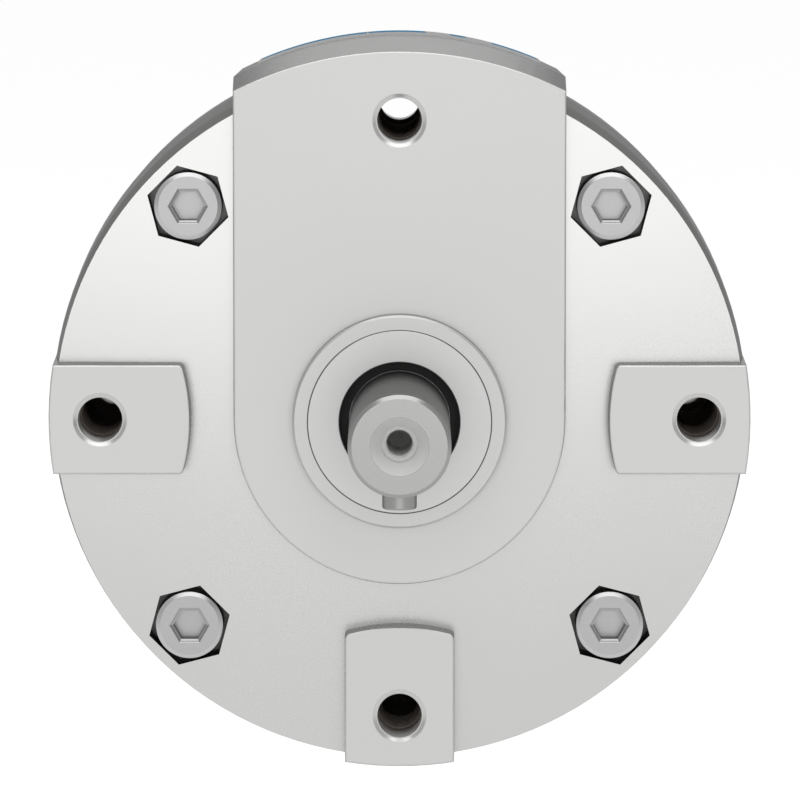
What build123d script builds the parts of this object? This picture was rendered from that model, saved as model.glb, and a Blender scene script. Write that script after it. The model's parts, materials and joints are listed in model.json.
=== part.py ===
from build123d import *
import os
from math import cos, pi, radians, sin, tan

# Pneumatic rotary actuator with a single vane that swings through three quarters of a turn.
# Millimetres. X is to the right, Z is up towards the port block, and Y runs back along the shaft.
# The origin is the centre of the mounting hole circle on the front pad faces.
# The shaft's driven end points along -Y, and its key and the vane point down at rest.

# Drum
body_depth = 58.0            # from the front pad faces to the rear pad faces
joint_diameter = 105.8       # at the joint between the two castings
shoulder_step = 0.3          # in from the joint to where the edge starts to close in
shoulder_depth = 11.0
shoulder_round = 50.0
edge_step = 1.1              # in from the joint to the front edge of the drum
edge_depth = 4.9
edge_round = 0.5
face_depth = 3.4             # depth of the domed face at the shaft's axis

# Mounting pads
block_half_width = 24.8      # the tall pad that carries the top hole
block_rise = 2.2             # its arched top above the drum at the joint
block_draft = 1.3            # degrees
pad_width = 16.4
pad_inset = 0.4              # outer end of a pad, in from the drum at the joint
pad_draft = 0.7              # degrees
pad_reach = 21.2             # from its outer end in to its innermost point
pad_nose_radius = 29.0       # curve of the pad's inner end
pad_corner = 0.8
pad_edge_round = 0.3

# Mounting holes, M8 right through both castings
mount_circle_radius = 44.8
mount_thread_radius = 3.35
mount_mouth_radius = 4.05
mount_mouth_angle = 120.0
mount_count = 4

# Collar round the shaft
collar_radius = 16.0
collar_height = 3.0
collar_edge = 0.3
cover_radius = 13.75
cover_bore_radius = 9.0
collar_lip_radius = 11.0
collar_lip_thickness = 1.0

# Vane chamber
chamber_radius = 36.5
chamber_width = 34.0
running_gap = 0.1            # between moving and fixed faces in the chamber
fit_gap = 0.05               # between a turning surface and the ring round it

# Ball bearings, 15 x 28 x 7
bearing_bore_radius = 7.5
bearing_outer_radius = 14.0
bearing_width = 7.0
bearing_inner_land = 9.3
bearing_outer_land = 12.2
ball_radius = 1.98
ball_count = 10
cage_thickness = 1.3
cage_width = 4.6
race_clearance = 0.05

# Shaft
shaft_reach = 34.0           # from the front pad faces to the tip
shaft_hub_radius = 9.0
shaft_chamfer = 0.55
shaft_relief_radius = 7.2    # ground relief inside the collar
shaft_relief_front = -1.6
shaft_relief_back = -0.6
centre_mouth_radius = 4.3
centre_relief_radius = 2.65
centre_relief_depth = 4.6
centre_cone_angle = 60.0
tip_thread_radius = 2.1
tip_thread_depth = 16.0
drill_point_angle = 118.0
rear_stub_length = 2.2       # past the rear bearing

# Keys
key_width = 5.0
key_height = 5.0
key_length = 25.0
key_setback = 2.0            # from the tip to the key's end
key_seat_depth = 3.0
rotor_key_length = 28.0

# Rotor
hub_radius = 13.0
vane_thickness = 10.0
vane_side_gap = 0.4
vane_seal_width = 3.0
vane_seal_depth = 2.5
swing_each_way = 135.0       # degrees from the rest position

# Fixed stop
stop_gap = 0.3               # between vane and stop at the end of the swing
stop_seal_width = 4.0
stop_seal_depth = 2.0
cushion_radius = 2.5
cushion_depth = 2.0
cushion_proud = 0.25
cushion_reach = 29.0         # from the axis to the cushion's centre
cushion_spacing = 17.0       # between the two cushions of one side, along the shaft
stop_pin_radius = 2.0
stop_pin_spacing = 10.0
stop_pin_height = 28.0
stop_pin_bury = 5.0

# Seals
shaft_seal_width = 3.8
shaft_seal_wall = 0.9
shaft_seal_lip = 0.6
dust_seal_gap = 0.05
joint_ring_gap = 2.5         # from the chamber's wall to the middle of the ring
joint_ring_section = 1.5
joint_groove_width = 2.0
joint_groove_depth = 1.55

# Housing screws, M6 x 40 with nuts
screw_count = 4
screw_start = 45.0           # degrees from the nearest mounting hole
hex_turn = 30.0              # puts a hexagon's flats above and below
screw_radius = 3.0
screw_hole_radius = 3.15
screw_length = 40.0
screw_head_radius = 5.0
screw_head_height = 6.0
screw_head_edge = 0.3
screw_socket = 5.0           # across flats
screw_socket_depth = 3.2
screw_seat_depth = 10.4
nut_width = 10.0             # across flats
nut_height = 5.2
nut_seat_depth = 13.0        # from the rear pad faces
hex_pocket_width = 10.9      # across flats

# Locating pins between the castings
dowel_radius = 2.5
dowel_length = 16.0
dowel_wall = 3.1             # from the seal groove to a pin
dowel_angle = 22.5           # up from the horizontal, one pin on each side
dowel_end_gap = 0.5

# Air supply ports, G1/8
port_spacing = 22.0
port_height = 44.8
port_thread_radius = 4.3
port_thread_depth = 9.0
port_mouth_radius = 5.0
port_mouth_angle = 90.0
air_passage_radius = 1.75
air_passage_depth = 36.0     # from the front pad faces

# Retaining ring on the shaft's rear end
clip_thickness = 1.0
clip_outer_radius = 9.2
clip_groove_radius = 6.9
clip_opening = 5.0
clip_land = 0.1              # between the bearing and the groove

# Rear cap and label
cap_pocket_radius = 10.4
cap_wall = 1.2
label_half_width = 21.9
label_front = 38.0
label_rear = 56.0
label_thickness = 0.2

# Worked out from the sizes above
joint_depth = body_depth / 2
joint_radius = joint_diameter / 2
shoulder_radius = joint_radius - shoulder_step
edge_radius = joint_radius - edge_step
block_radius = joint_radius + block_rise
pad_outer_radius = joint_radius - pad_inset
pad_inner_radius = pad_outer_radius - pad_reach
joint_ring_radius = chamber_radius + joint_ring_gap
dowel_circle_radius = joint_ring_radius + joint_groove_width / 2 + dowel_wall + dowel_radius
block_growth = joint_depth * tan(radians(block_draft))
pad_growth = joint_depth * tan(radians(pad_draft))
chamber_front = joint_depth - chamber_width / 2
chamber_rear = joint_depth + chamber_width / 2
bearing_front = collar_lip_thickness
bearing_back = bearing_front + bearing_width
rear_bearing_front = body_depth - bearing_back
rear_bearing_back = body_depth - bearing_front
ball_circle_radius = (bearing_inner_land + bearing_outer_land) / 2
clip_front = rear_bearing_back + clip_land
shaft_end = rear_bearing_back + rear_stub_length
vane_radius = chamber_radius - vane_side_gap
stop_offset = vane_thickness / 2 + stop_gap
stop_half_angle = 180.0 - swing_each_way
stop_apex = stop_offset / sin(radians(stop_half_angle))
dowel_x = dowel_circle_radius * cos(radians(dowel_angle))
dowel_z = dowel_circle_radius * sin(radians(dowel_angle))
dowel_places = [(-dowel_x, dowel_z), (dowel_x, dowel_z)]
overshoot = 1.0              # how far a cutting shape runs past a face


def at_depth(depth):
    """Plane across the shaft, facing forward, at this depth behind the front pad faces."""
    return Plane.XZ.offset(-depth)


def ring(outer, inner, front, back):
    """Plain ring about the shaft's axis between two depths."""
    with BuildPart() as piece:
        with BuildSketch(at_depth(back)):
            Circle(outer)
            Circle(inner, mode=Mode.SUBTRACT)
        extrude(amount=back - front)
    return piece.part


def turned(points):
    """Solid of revolution about the shaft's axis from (radius, depth) corners."""
    with BuildPart() as piece:
        with BuildSketch(Plane.XY):
            with BuildLine():
                Polyline(*points, close=True)
            make_face()
        revolve(axis=Axis.Y)
    return piece.part


def save(piece, name):
    """Label a finished piece and write it."""
    piece.part.label = name
    export_step(piece.part, f"parts/{name}.step")


def casting_blank():
    """One half of the body: drum, tall block, three pads and collar, before machining."""
    with BuildPart() as blank:
        with BuildSketch(Plane.XY) as profile:
            with BuildLine():
                TangentArc((0, face_depth), (edge_radius, edge_depth), tangent=(1, 0))
                Polyline(
                    (edge_radius, edge_depth),
                    (shoulder_radius, shoulder_depth),
                    (joint_radius, joint_depth),
                    (0, joint_depth),
                    (0, face_depth),
                )
            make_face()
            edge_corner = profile.vertices().filter_by_position(Axis.Y, edge_depth, edge_depth)
            fillet(edge_corner, edge_round)
            shoulder_corner = profile.vertices().filter_by_position(Axis.Y, shoulder_depth, shoulder_depth)
            fillet(shoulder_corner, shoulder_round)
        revolve(axis=Axis.Y)
        # Tall block with a round foot and an arched top.
        with BuildSketch(at_depth(joint_depth)):
            Circle(block_half_width + block_growth)
            Rectangle(
                2 * (block_half_width + block_growth),
                block_radius + block_growth + overshoot,
                align=(Align.CENTER, Align.MIN))
            Circle(block_radius + block_growth, mode=Mode.INTERSECT)
        extrude(amount=joint_depth, taper=block_draft)
        # Three smaller pads, at the sides and below.
        with BuildSketch(at_depth(joint_depth)) as pads:
            for turn in (180, 270, 360):
                with BuildSketch(Plane.XY.rotated((0, 0, turn)), mode=Mode.PRIVATE) as pad:
                    with Locations((pad_outer_radius / 2 + pad_inner_radius / 2, 0)):
                        Rectangle(
                            pad_outer_radius - pad_inner_radius + 2 * overshoot,
                            pad_width + 2 * pad_growth)
                    with Locations((pad_inner_radius - pad_growth + pad_nose_radius, 0)):
                        Circle(pad_nose_radius, mode=Mode.INTERSECT)
                    inner_corners = pad.vertices().sort_by_distance((0, 0, 0))[:2]
                    fillet(inner_corners, pad_corner + pad_growth)
                add(pad.sketch)
            Circle(pad_outer_radius + pad_growth, mode=Mode.INTERSECT)
        extrude(amount=joint_depth, taper=pad_draft)
        fillet(blank.faces().group_by(Axis.Y)[0].edges(), pad_edge_round)
        with BuildSketch(at_depth(0)):
            Circle(collar_radius)
        extrude(amount=collar_height)
        chamfer(blank.faces().sort_by(Axis.Y)[0].edges(), collar_edge)
    return blank.part


def machined_half():
    """The casting with every bore, seat and hole that both halves share."""
    casting = casting_blank()
    with BuildPart() as half:
        add(casting)
        # Bores on the shaft's axis.
        with BuildSketch(at_depth(joint_depth)):
            Circle(chamber_radius)
        extrude(amount=joint_depth - chamber_front, mode=Mode.SUBTRACT)
        with BuildSketch(at_depth(chamber_front)):
            Circle(bearing_outer_radius)
        extrude(amount=chamber_front - bearing_front, mode=Mode.SUBTRACT)
        with BuildSketch(at_depth(bearing_front)):
            Circle(collar_lip_radius)
        extrude(amount=bearing_front + collar_height, mode=Mode.SUBTRACT)
        with BuildSketch(at_depth(0)):
            Circle(cover_radius)
        extrude(amount=collar_height, mode=Mode.SUBTRACT)
        # Threaded mounting holes with coned mouths.
        with Locations(at_depth(0)):
            with PolarLocations(mount_circle_radius, mount_count):
                CounterSinkHole(mount_thread_radius, mount_mouth_radius, depth=joint_depth + overshoot,
                                counter_sink_angle=mount_mouth_angle)
        # Clearance holes for the housing screws.
        with BuildSketch(at_depth(joint_depth)):
            with PolarLocations(mount_circle_radius, screw_count, start_angle=screw_start):
                Circle(screw_hole_radius)
        extrude(amount=joint_depth, mode=Mode.SUBTRACT)
        # Blind holes for the locating pins, and for the pins that hold the stop.
        with BuildSketch(at_depth(joint_depth)):
            with Locations(*dowel_places):
                Circle(dowel_radius)
        extrude(amount=dowel_length / 2 + dowel_end_gap, mode=Mode.SUBTRACT)
        with BuildSketch(at_depth(chamber_front)):
            with Locations((0, stop_pin_height)):
                with GridLocations(stop_pin_spacing, 0, 2, 1):
                    Circle(stop_pin_radius)
        extrude(amount=stop_pin_bury, mode=Mode.SUBTRACT)
    return half.part


def hex_pockets(seat_depth):
    """Four hexagonal pockets from the face of the drum down to a seat, as one tool."""
    with BuildPart() as tool:
        with BuildSketch(at_depth(seat_depth)):
            with PolarLocations(mount_circle_radius, screw_count, start_angle=screw_start):
                RegularPolygon(hex_pocket_width / 2, 6, major_radius=False, rotation=hex_turn)
        extrude(amount=seat_depth + collar_height)
    return tool.part


def bearing_ring(outer, inner, front):
    """One race of a ball bearing with its ball groove."""
    blank = ring(outer, inner, front, front + bearing_width)
    with BuildPart() as race:
        add(blank)
        with BuildSketch(Plane.XY):
            with Locations((ball_circle_radius, front + bearing_width / 2)):
                Circle(ball_radius + race_clearance)
        revolve(axis=Axis.Y, mode=Mode.SUBTRACT)
    return race.part


def ball_planes(front):
    """A plane at each ball centre of the bearing that starts at this depth, facing outwards."""
    planes = []
    for number in range(ball_count):
        angle = 2 * pi * number / ball_count
        outward = (cos(angle), 0, sin(angle))
        centre = (ball_circle_radius * outward[0], front + bearing_width / 2, ball_circle_radius * outward[2])
        planes.append(Plane(origin=centre, x_dir=(0, 1, 0), z_dir=outward))
    return planes


def shaft_seal(front):
    """Lip seal that fills the bearing bore between a bearing and the chamber."""
    back = front + shaft_seal_width
    lip_radius = shaft_hub_radius + fit_gap
    return turned([
        (bearing_outer_radius, front),
        (bearing_outer_radius, back),
        (lip_radius, back),
        (lip_radius, back - shaft_seal_lip),
        (lip_radius + shaft_seal_wall, back - shaft_seal_lip),
        (lip_radius + 2 * shaft_seal_wall, back - 2 * shaft_seal_wall),
        (bearing_outer_radius - shaft_seal_wall, back - 2 * shaft_seal_wall),
        (bearing_outer_radius - shaft_seal_wall, front),
    ])


os.makedirs("parts", exist_ok=True)

shared_half = machined_half()

# Front housing: hexagonal pockets take the screw heads, and a groove takes the joint seal.
front_pockets = hex_pockets(screw_seat_depth)
with BuildPart() as front_housing:
    add(shared_half)
    add(front_pockets, mode=Mode.SUBTRACT)
    with BuildSketch(at_depth(joint_depth)):
        Circle(joint_ring_radius + joint_groove_width / 2)
        Circle(joint_ring_radius - joint_groove_width / 2, mode=Mode.SUBTRACT)
    extrude(amount=joint_groove_depth, mode=Mode.SUBTRACT)
save(front_housing, "front_housing")

# Rear housing: the same casting turned to face back, with nut pockets and the two air ports.
joint_plane = at_depth(joint_depth)
mirrored_half = mirror(shared_half, about=joint_plane)
rear_pockets = mirror(hex_pockets(nut_seat_depth), about=joint_plane)
with BuildPart() as rear_housing:
    add(mirrored_half)
    add(rear_pockets, mode=Mode.SUBTRACT)
    rear_face = Plane(origin=(0, body_depth, 0), x_dir=(-1, 0, 0), z_dir=(0, 1, 0))
    with Locations(rear_face):
        with Locations((-port_spacing / 2, port_height), (port_spacing / 2, port_height)):
            CounterSinkHole(port_thread_radius, port_mouth_radius, depth=port_thread_depth,
                            counter_sink_angle=port_mouth_angle)
            Hole(air_passage_radius, depth=body_depth - air_passage_depth + air_passage_radius)
    with BuildSketch(Plane.XY.offset(port_height)):
        with Locations((-port_spacing / 2, air_passage_depth), (port_spacing / 2, air_passage_depth)):
            Circle(air_passage_radius)
    extrude(amount=-(port_height - stop_apex), mode=Mode.SUBTRACT)
save(rear_housing, "rear_housing")

# Shaft: driven end with centre hole and key seat, thicker middle for the rotor, rear bearing journal.
relief_cone_depth = (centre_mouth_radius - centre_relief_radius) / tan(radians(centre_cone_angle / 2))
drill_point = tip_thread_radius / tan(radians(drill_point_angle / 2))
tip = -shaft_reach
shaft_blank = turned([
    (0, tip + tip_thread_depth + drill_point),
    (tip_thread_radius, tip + tip_thread_depth),
    (tip_thread_radius, tip + centre_relief_depth),
    (centre_relief_radius, tip + centre_relief_depth),
    (centre_relief_radius, tip + relief_cone_depth),
    (centre_mouth_radius, tip),
    (bearing_bore_radius - shaft_chamfer, tip),
    (bearing_bore_radius, tip + shaft_chamfer),
    (bearing_bore_radius, shaft_relief_front),
    (shaft_relief_radius, shaft_relief_front),
    (shaft_relief_radius, shaft_relief_back),
    (bearing_bore_radius, shaft_relief_back),
    (bearing_bore_radius, bearing_back),
    (shaft_hub_radius, bearing_back),
    (shaft_hub_radius, rear_bearing_front),
    (bearing_bore_radius, rear_bearing_front),
    (bearing_bore_radius, clip_front),
    (clip_groove_radius, clip_front),
    (clip_groove_radius, clip_front + clip_thickness),
    (bearing_bore_radius, clip_front + clip_thickness),
    (bearing_bore_radius, shaft_end - shaft_chamfer),
    (bearing_bore_radius - shaft_chamfer, shaft_end),
    (0, shaft_end),
])
key_centre = tip + key_setback + key_length / 2
key_floor = bearing_bore_radius - key_seat_depth
rotor_key_floor = shaft_hub_radius - key_seat_depth
with BuildPart() as output_shaft:
    add(shaft_blank)
    with BuildSketch(Plane.XY.offset(-key_floor)):
        with Locations((0, key_centre)):
            SlotOverall(key_length, key_width, rotation=90)
    extrude(amount=-(key_seat_depth + overshoot), mode=Mode.SUBTRACT)
    with BuildSketch(Plane.XY.offset(-rotor_key_floor)):
        with Locations((0, joint_depth)):
            Rectangle(key_width, rotor_key_length)
    extrude(amount=-(key_seat_depth + overshoot), mode=Mode.SUBTRACT)
save(output_shaft, "output_shaft")

with BuildPart() as feather_key:
    with BuildSketch(Plane.XY.offset(-key_floor)):
        with Locations((0, key_centre)):
            SlotOverall(key_length, key_width, rotation=90)
    extrude(amount=-key_height)
save(feather_key, "feather_key")

with BuildPart() as rotor_key:
    with BuildSketch(Plane.XY.offset(-rotor_key_floor)):
        with Locations((0, joint_depth)):
            Rectangle(key_width, rotor_key_length)
    extrude(amount=-key_height)
save(rotor_key, "rotor_key")

# Vane seal: a three-sided frame let into the edges of the vane.
seal_front = chamber_front + fit_gap
seal_rear = chamber_rear - fit_gap
with BuildPart() as vane_seal:
    with BuildSketch(Plane.YZ.offset(-vane_seal_width / 2)):
        with Locations((joint_depth, -(hub_radius + chamber_radius) / 2)):
            Rectangle(seal_rear - seal_front, chamber_radius - hub_radius)
        with Locations((joint_depth, -(hub_radius + vane_radius - vane_seal_depth) / 2)):
            Rectangle(
                seal_rear - seal_front - 2 * vane_seal_depth,
                vane_radius - vane_seal_depth - hub_radius,
                mode=Mode.SUBTRACT)
    extrude(amount=vane_seal_width)
    with BuildSketch(at_depth(chamber_rear)):
        Circle(chamber_radius - fit_gap)
        Circle(hub_radius, mode=Mode.SUBTRACT)
    extrude(amount=chamber_width, mode=Mode.INTERSECT)
save(vane_seal, "vane_seal")

# Rotor: hub keyed to the shaft, with one vane that points down at rest.
with BuildPart() as rotor_vane:
    with BuildSketch(at_depth(chamber_rear - vane_side_gap)):
        with Locations((0, -vane_radius / 2)):
            Rectangle(vane_thickness, vane_radius)
        Circle(vane_radius, mode=Mode.INTERSECT)
    extrude(amount=chamber_width - 2 * vane_side_gap)
    with BuildSketch(at_depth(chamber_rear - running_gap)):
        Circle(hub_radius)
    extrude(amount=chamber_width - 2 * running_gap)
    with BuildSketch(at_depth(chamber_rear)):
        Circle(shaft_hub_radius)
    extrude(amount=chamber_width, mode=Mode.SUBTRACT)
    add(rotor_key.part, mode=Mode.SUBTRACT)
    add(vane_seal.part, mode=Mode.SUBTRACT)
save(rotor_vane, "rotor_vane")

# Fixed stop: fills the top of the chamber between the two ends of the swing.
stop_front = chamber_front + running_gap
stop_rear = chamber_rear - running_gap
cushion_places = []
for side in (-1, 1):
    slope = radians(90 - side * stop_half_angle)
    face_x = cushion_reach * cos(slope) - side * stop_offset * sin(slope)
    face_z = cushion_reach * sin(slope) + side * stop_offset * cos(slope)
    outward = (side * sin(slope), 0, -side * cos(slope))
    for depth in (joint_depth - cushion_spacing / 2, joint_depth + cushion_spacing / 2):
        cushion_places.append(Plane(origin=(face_x, depth, face_z), x_dir=(0, 1, 0), z_dir=outward))

with BuildPart() as stop_cushions:
    for place in cushion_places:
        with BuildSketch(place.offset(-cushion_depth)):
            Circle(cushion_radius)
        extrude(amount=cushion_depth + cushion_proud)
save(stop_cushions, "stop_cushions")

with BuildPart() as stop_pins:
    with BuildSketch(at_depth(chamber_rear + stop_pin_bury)):
        with Locations((0, stop_pin_height)):
            with GridLocations(stop_pin_spacing, 0, 2, 1):
                Circle(stop_pin_radius)
    extrude(amount=chamber_width + 2 * stop_pin_bury)
save(stop_pins, "stop_pins")

with BuildPart() as stop_seal:
    with BuildSketch(at_depth(stop_rear)):
        with Locations((0, hub_radius + stop_seal_depth / 2)):
            Rectangle(stop_seal_width, stop_seal_depth)
        Circle(hub_radius + fit_gap, mode=Mode.SUBTRACT)
    extrude(amount=stop_rear - stop_front)
save(stop_seal, "stop_seal")

with BuildPart() as fixed_stop:
    with BuildSketch(at_depth(stop_rear)):
        with BuildLine():
            Polyline(
                (0, stop_apex),
                (chamber_radius * tan(radians(stop_half_angle)), stop_apex + chamber_radius),
                (-chamber_radius * tan(radians(stop_half_angle)), stop_apex + chamber_radius),
                close=True,
            )
        make_face()
        Circle(chamber_radius - fit_gap, mode=Mode.INTERSECT)
        Circle(hub_radius + running_gap, mode=Mode.SUBTRACT)
    extrude(amount=stop_rear - stop_front)
    add(stop_seal.part, mode=Mode.SUBTRACT)
    add(stop_pins.part, mode=Mode.SUBTRACT)
    add(stop_cushions.part, mode=Mode.SUBTRACT)
    with BuildSketch(Plane.XY.offset(chamber_radius)):
        with Locations((-port_spacing / 2, air_passage_depth), (port_spacing / 2, air_passage_depth)):
            Circle(air_passage_radius)
    extrude(amount=-chamber_radius, mode=Mode.SUBTRACT)
save(fixed_stop, "fixed_stop")

# Bearings, one in each housing.
for place, front in (("front", bearing_front), ("rear", rear_bearing_front)):
    outer_race = bearing_ring(bearing_outer_radius, bearing_outer_land, front)
    with BuildPart() as bearing_outer:
        add(outer_race)
    save(bearing_outer, f"{place}_bearing_outer_ring")

    inner_race = bearing_ring(bearing_inner_land, bearing_bore_radius, front)
    with BuildPart() as bearing_inner:
        add(inner_race)
    save(bearing_inner, f"{place}_bearing_inner_ring")

    with BuildPart() as bearing_balls:
        with Locations(*ball_planes(front)):
            Sphere(ball_radius)
    save(bearing_balls, f"{place}_bearing_balls")

    cage_front = front + bearing_width / 2 - cage_width / 2
    cage_blank = ring(
        ball_circle_radius + cage_thickness / 2,
        ball_circle_radius - cage_thickness / 2,
        cage_front,
        cage_front + cage_width)
    with BuildPart() as bearing_cage:
        add(cage_blank)
        with BuildSketch(*ball_planes(front)):
            Circle(ball_radius + race_clearance)
        extrude(amount=cage_thickness, both=True, mode=Mode.SUBTRACT)
    save(bearing_cage, f"{place}_bearing_cage")

# Shaft seals between each bearing and the chamber, and the dust seal behind the front cover.
seal_blank = shaft_seal(chamber_front - shaft_seal_width)
with BuildPart() as front_shaft_seal:
    add(seal_blank)
save(front_shaft_seal, "front_shaft_seal")

with BuildPart() as rear_shaft_seal:
    add(mirror(seal_blank, about=joint_plane))
save(rear_shaft_seal, "rear_shaft_seal")

dust_ring = ring(
    collar_lip_radius,
    bearing_bore_radius + fit_gap,
    dust_seal_gap,
    collar_lip_thickness - dust_seal_gap)
with BuildPart() as dust_seal:
    add(dust_ring)
save(dust_seal, "dust_seal")

cover_ring = ring(cover_radius, cover_bore_radius, -collar_height, 0)
with BuildPart() as front_cover:
    add(cover_ring)
save(front_cover, "front_cover")

# Rear cap: a cup that closes the rear collar over the end of the shaft.
cap_back = body_depth + collar_height
cap_turned = turned([
    (cap_pocket_radius, body_depth),
    (cover_radius, body_depth),
    (cover_radius, cap_back),
    (0, cap_back),
    (0, cap_back - cap_wall),
    (cap_pocket_radius, cap_back - cap_wall),
])
with BuildPart() as rear_cap:
    add(cap_turned)
save(rear_cap, "rear_cap")

# Retaining ring in the groove behind the rear bearing.
clip_blank = ring(clip_outer_radius, clip_groove_radius, clip_front, clip_front + clip_thickness)
with BuildPart() as retaining_ring:
    add(clip_blank)
    with BuildSketch(at_depth(clip_front + clip_thickness)):
        with Locations((0, clip_outer_radius)):
            Rectangle(clip_opening, 2 * clip_outer_radius)
    extrude(amount=clip_thickness, mode=Mode.SUBTRACT)
save(retaining_ring, "retaining_ring")

# Joint seal, a round-section ring in its groove.
with BuildPart() as joint_seal:
    with BuildSketch(Plane.XY):
        with Locations((joint_ring_radius, joint_depth - joint_ring_section / 2)):
            Circle(joint_ring_section / 2)
    revolve(axis=Axis.Y)
save(joint_seal, "joint_seal")

# Housing screws and nuts.
with BuildPart() as housing_screws:
    with BuildSketch(at_depth(screw_seat_depth)):
        with PolarLocations(mount_circle_radius, screw_count, start_angle=screw_start):
            Circle(screw_head_radius)
    extrude(amount=screw_head_height)
    rims = housing_screws.faces().group_by(Axis.Y)[0].edges()
    fillet(rims, screw_head_edge)
    with BuildSketch(at_depth(screw_seat_depth + screw_length)):
        with PolarLocations(mount_circle_radius, screw_count, start_angle=screw_start):
            Circle(screw_radius)
    extrude(amount=screw_length)
    with BuildSketch(at_depth(screw_seat_depth - screw_head_height + screw_socket_depth)):
        with PolarLocations(mount_circle_radius, screw_count, start_angle=screw_start, rotate=False):
            RegularPolygon(screw_socket / 2, 6, major_radius=False, rotation=hex_turn)
    extrude(amount=screw_socket_depth, mode=Mode.SUBTRACT)
save(housing_screws, "housing_screws")

nut_front = body_depth - nut_seat_depth
with BuildPart() as housing_nuts:
    with BuildSketch(at_depth(nut_front + nut_height)):
        with PolarLocations(mount_circle_radius, screw_count, start_angle=screw_start):
            RegularPolygon(nut_width / 2, 6, major_radius=False, rotation=hex_turn)
            Circle(screw_radius, mode=Mode.SUBTRACT)
    extrude(amount=nut_height)
save(housing_nuts, "housing_nuts")

with BuildPart() as locating_pins:
    with BuildSketch(at_depth(joint_depth + dowel_length / 2)):
        with Locations(*dowel_places):
            Circle(dowel_radius)
    extrude(amount=dowel_length)
save(locating_pins, "locating_pins")

# Label, a thin sheet on the arched top of the rear casting.
label_front_radius = block_radius + (body_depth - label_front) * tan(radians(block_draft))
label_rear_radius = block_radius + (body_depth - label_rear) * tan(radians(block_draft))
label_sleeve = turned([
    (label_front_radius, label_front),
    (label_front_radius + label_thickness, label_front),
    (label_rear_radius + label_thickness, label_rear),
    (label_rear_radius, label_rear),
])
with BuildPart() as label:
    add(label_sleeve)
    with BuildSketch(at_depth(label_rear)):
        with Locations((0, block_radius)):
            Rectangle(2 * label_half_width, block_radius)
    extrude(amount=label_rear - label_front, mode=Mode.INTERSECT)
save(label, "label")
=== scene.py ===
import json
from math import cos, pi, radians, sin, tan

import bmesh
import bpy
from bpy.props import FloatProperty, FloatVectorProperty, IntProperty, PointerProperty
from mathutils import Matrix, Vector

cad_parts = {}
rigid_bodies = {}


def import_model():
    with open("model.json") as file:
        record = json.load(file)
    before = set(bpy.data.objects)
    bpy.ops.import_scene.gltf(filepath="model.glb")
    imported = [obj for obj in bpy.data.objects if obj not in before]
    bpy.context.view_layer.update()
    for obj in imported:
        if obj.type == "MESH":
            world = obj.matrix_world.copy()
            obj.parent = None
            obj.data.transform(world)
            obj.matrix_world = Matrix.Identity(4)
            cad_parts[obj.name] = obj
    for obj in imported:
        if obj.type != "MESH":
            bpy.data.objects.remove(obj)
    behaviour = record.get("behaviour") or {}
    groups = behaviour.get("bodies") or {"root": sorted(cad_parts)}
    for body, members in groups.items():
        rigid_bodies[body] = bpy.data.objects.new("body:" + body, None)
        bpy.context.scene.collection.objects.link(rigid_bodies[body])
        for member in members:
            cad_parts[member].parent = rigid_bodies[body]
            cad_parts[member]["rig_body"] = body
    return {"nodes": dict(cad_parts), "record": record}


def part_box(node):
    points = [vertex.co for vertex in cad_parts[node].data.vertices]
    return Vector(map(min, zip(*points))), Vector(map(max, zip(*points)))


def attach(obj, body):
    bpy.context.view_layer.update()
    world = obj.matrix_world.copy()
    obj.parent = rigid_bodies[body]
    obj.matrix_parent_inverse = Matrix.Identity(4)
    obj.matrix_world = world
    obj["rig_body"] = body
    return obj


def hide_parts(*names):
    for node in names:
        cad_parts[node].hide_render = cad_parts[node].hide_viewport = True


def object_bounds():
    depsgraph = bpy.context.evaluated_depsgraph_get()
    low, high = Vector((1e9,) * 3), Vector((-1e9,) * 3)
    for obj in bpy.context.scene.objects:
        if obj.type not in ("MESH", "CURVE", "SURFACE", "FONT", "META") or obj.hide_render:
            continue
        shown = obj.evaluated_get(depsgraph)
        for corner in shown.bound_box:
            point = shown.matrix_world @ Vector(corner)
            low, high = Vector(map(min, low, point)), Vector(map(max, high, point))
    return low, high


bl_info = {
    "name": "Rotary actuator",
    "version": (1, 0, 0),
    "blender": (4, 5, 0),
    "location": "View3D > Sidebar > Actuator",
    "description": "Finishes, threads, screws and a studio for the packed rotary actuator",
    "category": "Object",
}

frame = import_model()
cad_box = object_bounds()

MM = 0.001
SHAFT_BODY = "rotor"
BODY = "housing"
BALLS = 10
SCREW_TURN = radians(45)    # where the first screw stands on its circle

# How meshes are merged and where their edges stay sharp
MERGED = 0.002 * MM         # points nearer than this become one
SHARP = 18.0                # degrees between faces at a sharp edge
BEVELLED = 40.0             # degrees between faces at an edge that gets a bevel

# What counts as a wall, a turned face or a dome, and not as a fillet
SAME_PLANE = 0.3            # degrees between faces of one flat wall
SMALL_WALL = 20 * MM * MM   # a smaller flat face may belong to a fillet
NARROW = 0.06               # width of a turned face as a share of its radius
WIDE_FACET = 10.0           # degrees from the middle of a turned facet to its corner
ROUND_FIT = 0.01 * MM       # how far corners may be off a turned face
DOME_FIT = 0.004 * MM       # how far corners may be off a dome
DOME_TILT = 2.0             # degrees from a dome's facet to the dome
SMOOTH = 25.0               # degrees between the faces that a fillet blends

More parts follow.
